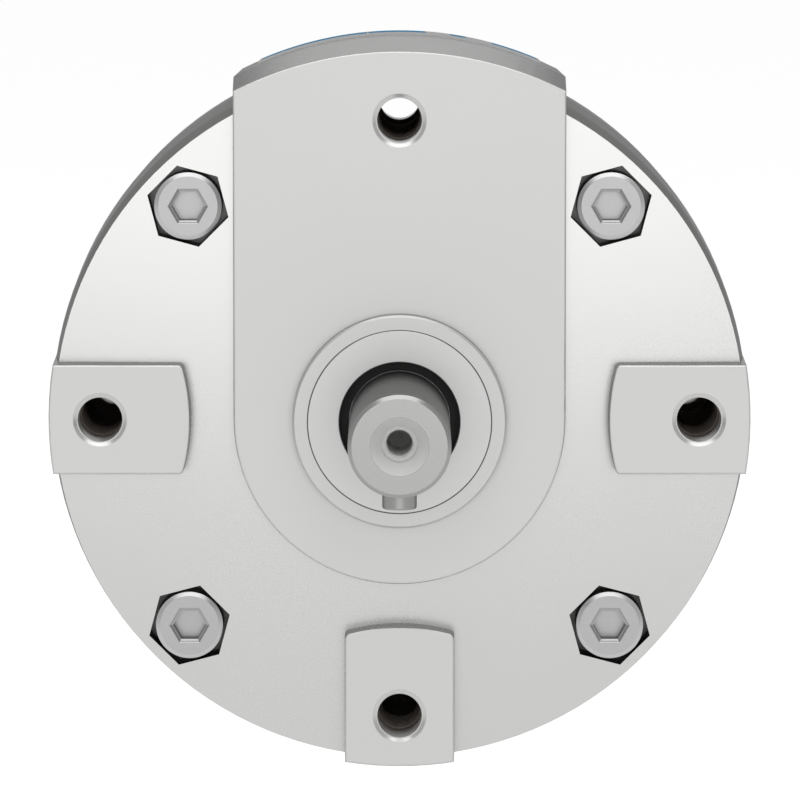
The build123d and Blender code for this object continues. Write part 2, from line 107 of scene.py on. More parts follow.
# Shapes of small details
FINISH_EDGE = 0.05 * MM     # width over which one finish turns into the next
SEAM = 0.05 * MM            # half the width of the dark line round the cover
PARTING = 0.06 * MM         # half the width of the dark line between the castings
MOUTH_WALL = 0.12 * MM      # from a mounting hole's wall to where its painted light and shade end
TIP_RECESS = 4.3 * MM       # radius of the centre hole's mouth in the shaft's tip
TIP_THREAD_START = 4.8 * MM     # behind the shaft's tip
TIP_THREAD_LENGTH = 11.0 * MM
SCREW_RIM = 0.6 * MM        # width of the slope round a screw's head
SCREW_SEAT_EDGE = 0.1 * MM  # width of the slope under the head
SCREW_END = 0.7 * MM        # width of the slope at a screw's end
SOCKET_STEPS = (            # widening of a socket's mouth, and depth below the head's top
    (0.0, 0.46 * MM),
    (0.55 * MM, 0.3 * MM),
    (0.65 * MM, 0.1 * MM),
    (1.0 * MM, 0.0),
)
SCREW_THREAD_LENGTH = 6.0 * MM
SCREW_THREAD_END = 0.5 * MM     # from the screw's end to its thread
SCREW_THREAD_RIDGE = 0.16 * MM
MOUNT_THREAD_LENGTH = 12.0 * MM
PORT_THREAD_START = 1.0 * MM    # inside the port's mouth
PORT_THREAD_LENGTH = 7.5 * MM
TIP_RIDGE = 0.3             # height of a thread's ridge as a share of its pitch
MOUNT_RIDGE = 0.2
PORT_RIDGE = 0.22
NUT_FACE = 0.475            # radius of a nut's round face as a share of its width
NUT_SLOPE = 28.0            # degrees from that face to its cut corners
NUT_LEAD_WIDTH = 0.4 * MM   # slope at the ends of a nut's bore
NUT_LEAD_DEPTH = 0.5 * MM
THREAD_SIDES = 4
THREAD_RESOLUTION = 28      # points on each turn of a thread
BALL_ROWS = 16
BALL_SEGMENTS = 32
NUT_SEGMENTS = 72
LABEL_BORDER = 1.2 * MM
LABEL_SIDE = 0.4 * MM
LABEL_FIELD = 8.2 * MM      # from the label's rear end to the front of its blue field
LABEL_PANELS = (            # middle and half width of each pale panel
    (6.0 * MM, 1.9 * MM),
    (12.4 * MM, 2.0 * MM),
    (-5.0 * MM, 0.15 * MM),
)

# Studio
TARGET_SIDE = 0.07 * MM     # how far right of the shaft's axis the camera looks
SENSOR_WIDTH = 36.0         # in millimetres
FLOOR_HALF = 30.0           # half the floor's width in metres
LAMPS = (                   # name, place, what it faces, width, height, its strength's setting
    ("front_softbox", (0, -1.7, 0.33), (0, 0.02, 0.33), 1.3, 0.9, "key_power"),
    ("top_softbox", (0, -0.3, 0.85), (0, 0.02, 0), 0.9, 1.05, "top_power"),
    ("rear_lamp", (0, 1.3, 0.32), (0, 0.02, 0), 0.35, 0.2, "rim_power"),
)


def depth_of(node, end):
    """Depth behind the front pads of a node's front (0) or rear (1) end, in metres."""
    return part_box(node)[end].y


def body_depth():
    """Depth of the rear pads behind the front pads."""
    return 2 * depth_of("front_housing", 1)


# Sizes and colours that a user may change

def length_setting(name, description, millimetres):
    """A length with its default in millimetres."""
    return FloatProperty(
        name=name, description=description, default=millimetres * MM, unit="LENGTH",
        precision=5)


def colour_setting(name, description, default):
    """A colour as linear red, green and blue."""
    return FloatVectorProperty(
        name=name, description=description, default=default, subtype="COLOR", min=0, max=1)


class ActuatorSizes(bpy.types.PropertyGroup):
    """Sizes of the pieces that are made or finished here."""

    face_depth: length_setting("Face depth", "Depth of the domed face at the shaft's axis", 3.4)
    rim_depth: length_setting("Rim depth", "Depth of the domed face at its rim", 4.9)
    rim_radius: length_setting("Rim radius", "Radius of the domed face", 51.8)
    screw_circle: length_setting(
        "Screw circle radius", "From the shaft's axis to the housing screws", 44.8)
    screw_head_radius: length_setting("Screw head radius", "Radius of the cap screw heads", 5.05)
    screw_head_height: length_setting(
        "Screw head height", "From the seat to the top of the head", 6.0)
    screw_radius: length_setting("Screw shank radius", "Radius of the plain shank", 3.0)
    socket_width: length_setting("Socket width", "Across the flats of the hexagon socket", 4.3)
    socket_depth: length_setting(
        "Socket depth", "From the top of the head to the socket's floor", 3.0)
    pocket_reach: length_setting(
        "Pocket reach", "From a screw's axis to the corners of its pocket", 6.4)
    nut_width: length_setting("Nut width", "Across the flats of the nuts", 10.0)
    screw_pitch: length_setting("Screw pitch", "Thread pitch of the housing screws", 1.0)
    mount_radius: length_setting(
        "Mounting hole radius", "Wall radius of the threaded mounting holes", 3.35)
    mount_pitch: length_setting(
        "Mounting thread pitch", "Pitch of the threads in the mounting holes", 1.25)
    mount_thread_start: length_setting(
        "Mounting thread start", "How deep in the hole the thread starts", 8.0)
    port_radius: length_setting("Air port radius", "Wall radius of the threaded air ports", 4.3)
    port_pitch: length_setting("Air port pitch", "Pitch of the pipe thread", 0.907)
    tip_thread_radius: length_setting(
        "Tip thread radius", "Wall radius of the thread in the shaft's tip", 2.1)
    tip_thread_pitch: length_setting(
        "Tip thread pitch", "Pitch of the thread in the shaft's tip", 0.8)
    edge_break: length_setting("Edge break", "Width of the small bevel on machined edges", 0.14)
    key_edge: length_setting("Key edge", "Width of the bevel on the feather key", 0.25)
    copies: IntProperty(
        name="Screws", description="How many screws and mounting holes stand on the circle",
        default=4, min=1, max=12)


class ActuatorColours(bpy.types.PropertyGroup):
    """Colours of the finishes."""

    casting: colour_setting("Casting", "Bead-blasted die cast aluminium", (0.66, 0.66, 0.65))
    # Painted shade: the darker colour deep inside the threaded mounting holes
    bore_shade: colour_setting(
        "Shaded thread", "Inside of the threaded mounting holes", (0.34, 0.30, 0.275))
    steel: colour_setting("Ground steel", "Shaft and pins", (0.42, 0.42, 0.415))
    plated: colour_setting("Plated steel", "Housing screws and nuts", (0.46, 0.46, 0.46))
    turned: colour_setting(
        "Turned aluminium", "Front cover, rear cap and rotor", (0.575, 0.575, 0.57))
    rubber: colour_setting("Rubber", "Seals", (0.018, 0.017, 0.016))
    cushion: colour_setting("Cushion", "Buffers of the fixed stop", (0.52, 0.30, 0.08))
    nylon: colour_setting("Nylon", "Ball cages", (0.55, 0.46, 0.30))
    bearing: colour_setting("Bearing steel", "Bearing rings and balls", (0.62, 0.62, 0.63))
    film: colour_setting("Label field", "Blue field of the blank label", (0.07, 0.31, 0.55))
    blank: colour_setting(
        "Label ground", "Pale film of the label round its blue field", (0.6, 0.6, 0.6))


class StudioSettings(bpy.types.PropertyGroup):
    """Camera, floor and lamps."""

    camera_distance: FloatProperty(
        name="Camera distance", description="From the camera to the point it looks at",
        default=0.92, unit="LENGTH")
    camera_rise: FloatProperty(
        name="Camera elevation", description="Angle at which the camera looks down",
        default=radians(6.4), subtype="ANGLE")
    camera_lens: FloatProperty(
        name="Lens", description="Focal length in millimetres on a 36 mm wide sensor",
        default=277.0)
    target_height: length_setting(
        "Target height", "Height of the point that the camera looks at", 3.0)
    floor_drop: FloatProperty(
        name="Floor drop", description="How far the floor lies below the actuator",
        default=0.075, unit="LENGTH")
    key_power: FloatProperty(
        name="Front lamp", description="Power of the front softbox in watts", default=4.35)
    top_power: FloatProperty(
        name="Top lamp", description="Power of the overhead softbox in watts", default=3.5)
    rim_power: FloatProperty(
        name="Rear lamp", description="Power of the lamp behind in watts", default=0.5)
    ambient: FloatProperty(
        name="Ambient", description="Strength of the even light of the room", default=0.3)
    room_mirror: FloatProperty(
        name="Room in metal", description="Brightness of the room as metal mirrors it",
        default=0.515)
    floor_glow: FloatProperty(
        name="Floor glow", description="What the floor adds to its own light to look white",
        default=0.72)
    floor_mirror: FloatProperty(
        name="Floor in metal", description="What the floor adds where metal mirrors it",
        default=0.36)


# Node tools

def feed(tree, socket, value):
    """Links an amount or an output to a socket, or sets a plain value on it."""
    if isinstance(value, Amount):
        value = value.socket
    if isinstance(value, bpy.types.NodeSocket):
        tree.links.new(value, socket)
    else:
        socket.default_value = value


def node_in(tree, kind, inputs=None, settings=None):
    """One node of any type: its settings first, then the values or links of its sockets."""
    node = tree.nodes.new(kind)
    for setting, value in (settings or {}).items():
        setattr(node, setting, value)
    for name, value in (inputs or {}).items():
        feed(tree, node.inputs[name], value)
    return node


class Amount:
    """A number on its way through a shader, so that sums on it are written as Python."""

    def __init__(self, finish, socket):
        self.finish = finish
        self.socket = socket

    def step(self, operation, *values):
        node = self.finish.add(
            "ShaderNodeMath", {"operation": operation}, dict(enumerate(values)))
        return Amount(self.finish, node.outputs[0])

    def __add__(self, other):
        return self.step("ADD", self, other)

    __radd__ = __add__

    def __sub__(self, other):
        return self.step("SUBTRACT", self, other)

    def __rsub__(self, other):
        return self.step("SUBTRACT", other, self)

    def __mul__(self, other):
        return self.step("MULTIPLY", self, other)

    __rmul__ = __mul__

    def __pow__(self, other):
        return self.step("POWER", self, other)

    def __abs__(self):
        return self.step("ABSOLUTE", self)

    def rise(self, low, high):
        """0 below low, 1 above high and a smooth step between."""
        node = self.finish.add(
            "ShaderNodeMapRange", {"interpolation_type": "SMOOTHSTEP"},
            {"Value": self, "From Min": low, "From Max": high})
        return Amount(self.finish, node.outputs[0])

    def close_to(self, value, half, edge=FINISH_EDGE):
        """1 within half of a value, and 0 from an edge further out."""
        return 1 - abs(self - value).rise(half, half + edge)

    def larger(self, other):
        """The larger of two amounts."""
        return self.step("MAXIMUM", self, other)


class Finish:
    """A material whose nodes are added one by one."""

    def __init__(self, name, roughness, metallic, specular=0.0, edge=1.0):
        self.material = bpy.data.materials.new(name)
        self.material.use_nodes = True
        self.tree = self.material.node_tree
        self.tree.nodes.clear()
        self.shader = self.add("ShaderNodeBsdfPrincipled", {}, {
            "Roughness": roughness, "Metallic": metallic, "Specular IOR Level": specular,
            "Coat Roughness": 0.1, "Specular Tint": (edge, edge, edge, 1)})
        self.output = self.add(
            "ShaderNodeOutputMaterial", {}, {"Surface": self.shader.outputs[0]})
        self.place = self.add("ShaderNodeTexCoord").outputs["Object"]
        parts = self.add("ShaderNodeSeparateXYZ", {}, {0: self.place}).outputs
        self.x, self.y, self.z = (Amount(self, part) for part in parts)

    def add(self, kind, settings=None, inputs=None):
        """One node of this material."""
        return node_in(self.tree, kind, inputs, settings)

    def radius(self):
        """Distance from the shaft's axis."""
        return (self.x * self.x + self.z * self.z) ** 0.5

    def from_screw(self, sizes):
        """Distance from the axis of the nearest housing screw."""
        reach = sizes.screw_circle * cos(SCREW_TURN)
        return ((abs(self.x) - reach) ** 2 + (abs(self.z) - reach) ** 2) ** 0.5

    def scaled(self, x_scale, y_scale, z_scale):
        """The place on the piece, stretched along each axis."""
        return self.add("ShaderNodeMapping", {}, {
            "Vector": self.place, "Scale": (x_scale, y_scale, z_scale)}).outputs[0]

    def along(self, first, second):
        """Two amounts as one vector."""
        return self.add("ShaderNodeCombineXYZ", {}, {0: first, 1: second}).outputs[0]

    def noise(self, vector, scale, detail, rough):
        """Even noise from 0 to 1 round 0.5."""
        node = self.add("ShaderNodeTexNoise", {}, {
            "Vector": vector, "Scale": scale, "Detail": detail, "Roughness": rough})
        return Amount(self, node.outputs[0])

    def blend(self, factor, first, second):
        """Colour between two colours, each an output or three numbers."""
        first, second = (
            colour if isinstance(colour, bpy.types.NodeSocket) else (*colour, 1)
            for colour in (first, second))
        node = self.add("ShaderNodeMix", {"data_type": "RGBA"}, {0: factor, 6: first, 7: second})
        return node.outputs[2]

    def mottle(self, colour, darkest, lightest, *layers):
        """Shades of a colour by noises, each given with its share."""
        tone = 0.5
        for noise, share in layers:
            tone = (noise - 0.5) * share + tone
        return self.blend(tone, shade(colour, darkest), shade(colour, lightest))

    def set(self, name, value):
        """Feeds one socket of the shader."""
        feed(self.tree, self.shader.inputs[name], value)

    def emboss(self, height, distance, strength=1.0):
        """Small relief from a height between 0 and 1."""
        bump = self.add("ShaderNodeBump", {}, {
            "Strength": strength, "Distance": distance, "Height": height})
        self.set("Normal", bump.outputs[0])


def shade(colour, factor):
    """The same colour, lighter or darker."""
    return tuple(min(1.0, channel * factor) for channel in colour)


# Finishes

def cast_aluminium(colour, bore_shade_colour):
    """Die cast aluminium: blasted drum, milled pads, screw pockets painted dark as painted shade,
    and dark joint lines.

    The mounting holes have a painted highlight at their mouth and painted shade deeper in.
    """
    sizes = bpy.context.scene.actuator_sizes
    finish = Finish("cast_aluminium", 0.3, 0.9, edge=0.26)
    clouds = finish.noise(finish.place, 34.0, 3.0, 0.55)
    grain = finish.noise(finish.place, 3400.0, 2.0, 0.6)
    pits = finish.noise(finish.place, 900.0, 2.0, 0.5)
    face = finish.mottle(colour, 0.96, 1.04, (clouds, 0.35), (grain, 0.3))

    joint = body_depth() / 2
    inwards = joint - abs(finish.y - joint)
    pad = 1 - inwards.rise(0.02 * MM, 0.06 * MM)
    seam = finish.radius().close_to(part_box("front_cover")[1].x, SEAM)
    parting = finish.y.close_to(joint, PARTING, PARTING)
    lined = finish.blend(seam.larger(parting) * 0.75, face, shade(colour, 0.04))

    beside = ((abs(finish.x) - sizes.screw_circle) ** 2 + finish.z * finish.z) ** 0.5
    above = (finish.x * finish.x + (abs(finish.z) - sizes.screw_circle) ** 2) ** 0.5
    wall = sizes.mount_radius + MOUTH_WALL
    hole = 1 - beside.rise(wall, wall + FINISH_EDGE) * above.rise(wall, wall + FINISH_EDGE)
    # Painted light and shade in the mounting holes: a painted highlight, paler than the casting,
    # at the mouth, and the darker bore colour deeper in as painted shade.
    deep = inwards.rise(1.5 * MM, sizes.mount_thread_start)
    inside = finish.blend(deep, shade(colour, 1.4), bore_shade_colour)

    fall = (sizes.rim_depth - sizes.face_depth) / sizes.rim_radius ** 2
    squared = finish.x * finish.x + finish.z * finish.z
    sunk = inwards - squared * fall - sizes.face_depth
    # Painted shade: the hexagon pockets round the screw heads are coloured near black, with a dark
    # grey floor.
    around = finish.from_screw(sizes).rise(sizes.pocket_reach, sizes.pocket_reach + 0.1 * MM)
    pocket = (1 - around) * sunk.rise(0.05 * MM, 0.12 * MM)
    seat = depth_of("housing_screws", 0) + sizes.screw_head_height
    floor = pocket * inwards.rise(seat - 0.25 * MM, seat - 0.1 * MM)

    pockets_painted_dark = finish.blend(pocket, finish.blend(hole, lined, inside), shade(colour, 0.02))
    finish.set("Base Color", finish.blend(floor, pockets_painted_dark, shade(colour, 0.2)))
    finish.set("Metallic", (1 - hole) * 0.9)
    finish.set("Coat Weight", hole * (1 - deep))
    finish.set("Roughness", 0.22 + clouds * 0.05 + grain * 0.04 + pad * 0.2 + hole * 0.3)
    finish.emboss(grain * 0.6 + pits * 0.4, 0.006 * MM, 0.4)
    return finish.material


def turned_metal(name, colour, roughness, metallic, lines, depth, seam=0.0, recess=0.0):
    """Metal with the fine rings that a lathe leaves.

    It is dark along a seam, and inside a recess it is matt and painted pale, as painted light,
    where these radii are given.
    """
    finish = Finish(name, roughness, metallic, edge=0.32)
    path = finish.along(finish.radius() * lines, finish.y * lines)
    rings = finish.noise(path, 1.0, 2.0, 0.7)
    clouds = finish.noise(finish.place, 60.0, 2.0, 0.5)
    metal = finish.mottle(colour, 0.94, 1.05, (rings, 0.7), (clouds, 0.4))
    if seam:
        line = finish.radius().close_to(seam, SEAM)
        metal = finish.blend(line * 0.75, metal, shade(colour, 0.04))
    if recess:
        # Painted light: inside the recess the colour is about twice as pale, and less metallic.
        painted_lit_recess = 1 - finish.radius().rise(recess - FINISH_EDGE, recess)
        rings = rings * (1 - painted_lit_recess * 0.8) + painted_lit_recess * 0.4
        metal = finish.blend(painted_lit_recess, metal, shade(colour, 2.1))
        finish.set("Metallic", metallic * (1 - painted_lit_recess * 0.9))
    finish.set("Base Color", metal)
    finish.set("Roughness", roughness - 0.05 + rings * 0.1)
    finish.emboss(rings, depth)
    return finish.material


def drawn_steel(name, colour, roughness):
    """Cold drawn bar with faint lines along it."""
    finish = Finish(name, roughness, 1.0, edge=0.3)
    lines = finish.noise(finish.scaled(9000.0, 300.0, 9000.0), 1.0, 2.0, 0.6)
    clouds = finish.noise(finish.place, 220.0, 2.0, 0.5)
    finish.set("Base Color", finish.mottle(colour, 0.86, 1.1, (lines, 0.7), (clouds, 0.5)))
    finish.set("Roughness", roughness - 0.06 + lines * 0.12)
    finish.emboss(lines, 0.004 * MM)
    return finish.material


def plated_steel(colour):
    """Zinc plated steel with a soft mottle, and a painted highlight: paler round the rim of the
    screws' heads.
    """
    sizes = bpy.context.scene.actuator_sizes
    finish = Finish("plated_steel", 0.3, 0.95, edge=0.3)
    spots = finish.noise(finish.place, 1500.0, 3.0, 0.6)
    clouds = finish.noise(finish.place, 260.0, 2.0, 0.5)
    plain = finish.mottle(colour, 0.92, 1.06, (spots, 0.6), (clouds, 0.4))
    # Painted highlight: the slope round each screw's head is paler, for the light it catches.
    slope = sizes.screw_head_radius - SCREW_RIM
    painted_rim_highlight = finish.from_screw(sizes).rise(slope - 0.02 * MM, slope + 0.05 * MM)
    finish.set("Base Color", finish.blend(painted_rim_highlight, plain, shade(colour, 1.35)))
    finish.set("Roughness", 0.26 + spots * 0.1)
    finish.emboss(spots, 0.004 * MM, 0.6)
    return finish.material


def moulded(name, colour, roughness, grain_scale, depth):
    """Moulded rubber or plastic with a fine skin."""
    finish = Finish(name, roughness, 0.0, specular=0.4)
    grain = finish.noise(finish.place, grain_scale, 3.0, 0.6)
    clouds = finish.noise(finish.place, 150.0, 2.0, 0.5)
    finish.set("Base Color", finish.mottle(colour, 0.85, 1.2, (grain, 0.5), (clouds, 0.5)))
    finish.set("Roughness", roughness - 0.08 + grain * 0.16)
    finish.emboss(grain, depth)
    return finish.material


def label_film(colour, blank, half_width, rear):
    """Pale film with a blue field near its rear end, left blank but for plain pale panels."""
    finish = Finish("label_film", 0.5, 0.0)
    sharp = 0.03 * MM
    field = (half_width - LABEL_SIDE - abs(finish.x)).rise(0, sharp)
    field = field * (rear - LABEL_BORDER - finish.y).rise(0, sharp)
    field = field * (finish.y - rear + LABEL_FIELD).rise(0, sharp)
    for centre, half_panel in LABEL_PANELS:
        field = field * abs(finish.x - centre).rise(half_panel, half_panel + sharp)
    peel = finish.noise(finish.place, 700.0, 2.0, 0.5)
    ground = finish.mottle(colour, 0.94, 1.06, (peel, 1.0))
    finish.set("Base Color", finish.blend(field, blank, ground))
    finish.set("Roughness", 0.45 + peel * 0.08)
    finish.emboss(peel, 0.004 * MM, 0.5)
    return finish.material


made_finishes = {}


def finishes():
    """Every material by the record's slot, made once."""
    if not made_finishes:
        colours = bpy.context.scene.actuator_colours
        steel = tuple(colours.steel)
        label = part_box("label")[1]
        made_finishes.update({
            "casting": cast_aluminium(tuple(colours.casting), tuple(colours.bore_shade)),
            "steel": turned_metal(
                "ground_steel", steel, 0.27, 1.0, 6500.0, 0.002 * MM, recess=TIP_RECESS),
            "key_steel": drawn_steel("key_steel", shade(steel, 0.95), 0.34),
            "plated_steel": plated_steel(tuple(colours.plated)),
            "bearing_steel": turned_metal(
                "bearing_steel", tuple(colours.bearing), 0.16, 1.0, 9000.0, 0.001 * MM),
            "machined_aluminium": turned_metal(
                "turned_aluminium", tuple(colours.turned), 0.3, 0.95, 5200.0, 0.002 * MM,
                seam=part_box("front_cover")[1].x),
            "black_rubber": moulded(
                "seal_rubber", tuple(colours.rubber), 0.62, 2600.0, 0.01 * MM),
            "amber_cushion": moulded(
                "cushion_urethane", tuple(colours.cushion), 0.4, 1500.0, 0.006 * MM),
            "cage_plastic": moulded(
                "cage_nylon", tuple(colours.nylon), 0.5, 1800.0, 0.006 * MM),
            "blue_film": label_film(
                tuple(colours.film), tuple(colours.blank), label.x, label.y),
        })
    return made_finishes


# Mesh tools

def body_of_node(node):
    """Name of the CAD body that a node rides on."""
    return frame["nodes"][node]["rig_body"]


def slot_of_node(node):
    """Name of the record's material slot of a node."""
    for part in frame["record"]["subparts"]:
        if part["node"] == node:
            return part["material_slot"]
    raise ValueError(f"no slot for {node}")


def object_of(mesh, name):
    """A linked object for a mesh, lamp or camera, at the origin."""
    piece = bpy.data.objects.new(name, mesh)
    bpy.context.scene.collection.objects.link(piece)
    return piece


def soften(piece):
    """Smooth shading that keeps real edges sharp."""
    piece.data.shade_smooth()
    piece.data.set_sharp_from_angle(angle=radians(SHARP))


def wall_areas(mesh):
    """For each face, the area of the flat wall that it is part of."""
    work = bmesh.new()
    work.from_mesh(mesh)
    areas = [0.0] * len(work.faces)
    same = cos(radians(SAME_PLANE))
    seen = set()
    for start in work.faces:
        if start in seen:
            continue
        seen.add(start)
        wall = [start]
        for face in wall:
            for edge in face.edges:
                for other in edge.link_faces:
                    if other not in seen and other.normal.dot(start.normal) > same:
                        seen.add(other)
                        wall.append(other)
        area = sum(face.calc_area() for face in wall)
        for face in wall:
            areas[face.index] = area
    work.free()
    return areas


def turned_normals(face, corners):
    """Normals of a wide face that is turned about the shaft's axis, or nothing."""
    tilt = face.normal.y
    outwards = face.normal.x * face.center.x + face.normal.z * face.center.z
    reach = max(0.0, 1 - tilt * tilt) ** 0.5 * (1 if outwards > 0 else -1)
    narrow = NARROW * (face.center.x ** 2 + face.center.z ** 2) ** 0.5
    found, across, along = [], [], []
    for corner in corners:
        arm = Vector((corner.x, 0, corner.z))
        across.append(arm.length * reach + corner.y * tilt)
        along.append(corner.y * reach - arm.length * tilt)
        found.append(arm.normalized() * reach + Vector((0, tilt, 0)))
    if max(across) - min(across) > ROUND_FIT or max(along) - min(along) < narrow:
        return []
    if min(normal.dot(face.normal) for normal in found) < cos(radians(WIDE_FACET)):
        return []
    return found


def domed_normals(face, corners, radius, centres):
    """Normals of a face on the wide dome of a drum's end, or nothing."""
    for depth in centres:
        centre = Vector((0, depth, 0))
        arms = [corner - centre for corner in corners]
        tilt = (face.center - centre).normalized().dot(face.normal)
        if tilt > cos(radians(DOME_TILT)) and all(
                abs(arm.length - radius) < DOME_FIT for arm in arms):
            return [arm.normalized() for arm in arms]
    return []


def facing(normals, face):
    """Those normals that lie near a face's own."""
    return [normal for normal in normals if normal.dot(face.normal) > cos(radians(SMOOTH))]


def true_normals(piece, radius=0.0, centres=()):
    """Exact shading of flat and turned walls and domes, so no fillet's light spreads over them."""
    mesh = piece.data
    normals = [Vector((0, 0, 1))] * len(mesh.loops)
    areas = wall_areas(mesh)
    exact, rounded = {}, {}
    fillets = []
    for face in mesh.polygons:
        corners = [mesh.vertices[number].co for number in face.vertices]
        found = domed_normals(face, corners, radius, centres) or turned_normals(face, corners)
        if not found and areas[face.index] > SMALL_WALL:
            found = [face.normal.copy() for corner in corners]
        if not found:
            fillets.append(face)
            for number in face.vertices:
                rounded.setdefault(number, []).append(face.normal.copy())
        for loop, number, normal in zip(face.loop_indices, face.vertices, found):
            normals[loop] = normal
            exact.setdefault(number, []).append(normal)
    for face in fillets:
        for loop, number in zip(face.loop_indices, face.vertices):
            walls = facing(exact.get(number, ()), face)
            if walls:
                normals[loop] = max(walls, key=face.normal.dot)
            else:
                normals[loop] = sum(facing(rounded[number], face), Vector()).normalized()
    mesh.normals_split_custom_set(normals)


def carry(piece, body, slot):
    """Gives a finished piece its body and finish."""
    piece.data.materials.clear()
    piece.data.materials.append(finishes()[slot])
    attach(piece, body)


def dressed(node, edge=0.0):
    """A welded, smoothly shaded copy of a CAD node, with small bevels where edge is given."""
    mesh = frame["nodes"][node].data.copy()
    work = bmesh.new()
    work.from_mesh(mesh)
    bmesh.ops.remove_doubles(work, verts=work.verts, dist=MERGED)
    if edge:
        bmesh.ops.dissolve_limit(
            work, angle_limit=radians(0.2), verts=work.verts, edges=work.edges,
            delimit={"NORMAL"})
    work.to_mesh(mesh)
    work.free()
    piece = object_of(mesh, node + "_finished")
    if edge:
        bevel = piece.modifiers.new("edge_break", "BEVEL")
        bevel.width = edge
        bevel.segments = 2
        bevel.limit_method = "ANGLE"
        bevel.angle_limit = radians(BEVELLED)
        bevel.use_clamp_overlap = True
    soften(piece)
    carry(piece, body_of_node(node), slot_of_node(node))
    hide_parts(node)
    return piece


def revolved(name, rows, segments=96):
    """A mesh about the Y axis from rows of radius and depth.

    A radius may be a function of the angle.
    """
    work = bmesh.new()
    rings = []
    for radius, depth in rows:
        if radius == 0:
            rings.append([work.verts.new((0, depth, 0))])
            continue
        ring = []
        for number in range(segments):
            angle = 2 * pi * number / segments
            reach = radius(angle) if callable(radius) else radius
            ring.append(work.verts.new((reach * cos(angle), depth, reach * sin(angle))))
        rings.append(ring)
    for first, second in zip(rings, rings[1:]):
        for number in range(segments):
            after = (number + 1) % segments
            corners = [first[number % len(first)], first[after % len(first)],
                       second[after % len(second)], second[number % len(second)]]
            work.faces.new(list(dict.fromkeys(corners)))
    bmesh.ops.recalc_face_normals(work, faces=work.faces)
    mesh = bpy.data.meshes.new(name)
    work.to_mesh(mesh)
    work.free()
    return mesh


def hexagon(width):
    """Radius of a hexagon at an angle, with corners to the left and right."""
    return lambda angle: width / 2 / cos((angle % (pi / 3)) - pi / 6)


# Geometry node trees

def new_tree(name, inputs):
    """An empty geometry tree with named inputs, and its group input and output nodes."""
    tree = bpy.data.node_groups.new(name, "GeometryNodeTree")
    tree.interface.new_socket("Geometry", in_out="OUTPUT", socket_type="NodeSocketGeometry")
    for label, kind in inputs:
        tree.interface.new_socket(label, in_out="INPUT", socket_type=kind)
    return tree, tree.nodes.new("NodeGroupInput"), tree.nodes.new("NodeGroupOutput")


def finished_tree(tree, given, out, last):
    """The tree, ended with real copies of what its last node makes, in their finish."""
    real = node_in(tree, "GeometryNodeRealizeInstances", {"Geometry": last.outputs[0]})
    finish = node_in(tree, "GeometryNodeSetMaterial", {
        "Geometry": real.outputs[0], "Material": given.outputs["Finish"]})
    tree.links.new(finish.outputs[0], out.inputs[0])
    return tree


def circle_tree():
    """Copies of one piece on a circle about the shaft's axis, all standing the same way."""
    tree, given, out = new_tree("copies_on_a_circle", [
        ("Piece", "NodeSocketObject"), ("Count", "NodeSocketInt"),
        ("Radius", "NodeSocketFloat"), ("Turn", "NodeSocketFloat"),
        ("Finish", "NodeSocketMaterial")])
    circle = node_in(tree, "GeometryNodeMeshCircle", {
        "Vertices": given.outputs["Count"], "Radius": given.outputs["Radius"]})
    turn = node_in(tree, "ShaderNodeCombineXYZ", {
        "X": radians(90), "Y": given.outputs["Turn"]})
    upright = node_in(tree, "GeometryNodeTransform", {
        "Geometry": circle.outputs[0], "Rotation": turn.outputs[0]})
    shape = node_in(tree, "GeometryNodeObjectInfo", {"Object": given.outputs["Piece"]})
    copies = node_in(tree, "GeometryNodeInstanceOnPoints", {
        "Points": upright.outputs[0], "Instance": shape.outputs["Geometry"]})
    return finished_tree(tree, given, out, copies)


def thread_tree():
    """A screw thread's ridge as a helix about Z with a diamond section."""
    tree, given, out = new_tree("thread_ridge", [
        ("Turns", "NodeSocketFloat"), ("Radius", "NodeSocketFloat"),
        ("Length", "NodeSocketFloat"), ("Ridge", "NodeSocketFloat"),
        ("Finish", "NodeSocketMaterial")])
    line = node_in(tree, "GeometryNodeCurveSpiral", {
        "Resolution": THREAD_RESOLUTION, "Rotations": given.outputs["Turns"],
        "Start Radius": given.outputs["Radius"], "End Radius": given.outputs["Radius"],
        "Height": given.outputs["Length"]})
    upright = node_in(tree, "GeometryNodeSetCurveNormal", {"Curve": line.outputs[0]})
    if "mode" in upright.bl_rna.properties:
        upright.mode = "Z_UP"
    else:
        upright.inputs["Mode"].default_value = "Z Up"
    section = node_in(tree, "GeometryNodeCurvePrimitiveCircle", {
        "Resolution": THREAD_SIDES, "Radius": given.outputs["Ridge"]}, {"mode": "RADIUS"})
    ridge = node_in(tree, "GeometryNodeCurveToMesh", {
        "Curve": upright.outputs[0], "Profile Curve": section.outputs[0], "Fill Caps": True})
    return finished_tree(tree, given, out, ridge)


def grown(name, tree, values):
    """The plain mesh that a tree makes from these named values."""
    host = object_of(bpy.data.meshes.new(name + "_host"), name + "_host")
    modifier = host.modifiers.new("grow", "NODES")
    modifier.node_group = tree
    for item in tree.interface.items_tree:
        if item.in_out == "INPUT" and item.name in values:
            modifier[item.identifier] = values[item.name]
    host.update_tag()
    depsgraph = bpy.context.evaluated_depsgraph_get()
    depsgraph.update()
    mesh = bpy.data.meshes.new_from_object(host.evaluated_get(depsgraph), depsgraph=depsgraph)
    mesh.name = name
    bpy.data.objects.remove(host)
    if not mesh.vertices:
        raise RuntimeError(f"{name} came out empty")
    return mesh


def copies_on_circle(name, mesh, count, radius, turn, slot):
    """Copies of a mesh on a circle about the shaft's axis, as one mesh."""
    master = object_of(mesh, name + "_master")
    tree = bpy.data.node_groups.get("copies_on_a_circle") or circle_tree()
    made = grown(name, tree, {
        "Piece": master, "Count": count, "Radius": radius, "Turn": turn,
        "Finish": finishes()[slot]})
    bpy.data.objects.remove(master)
    return made


def moved(mesh, x, y, z):
    """The mesh, moved."""
    mesh.transform(Matrix.Translation((x, y, z)))
    return mesh


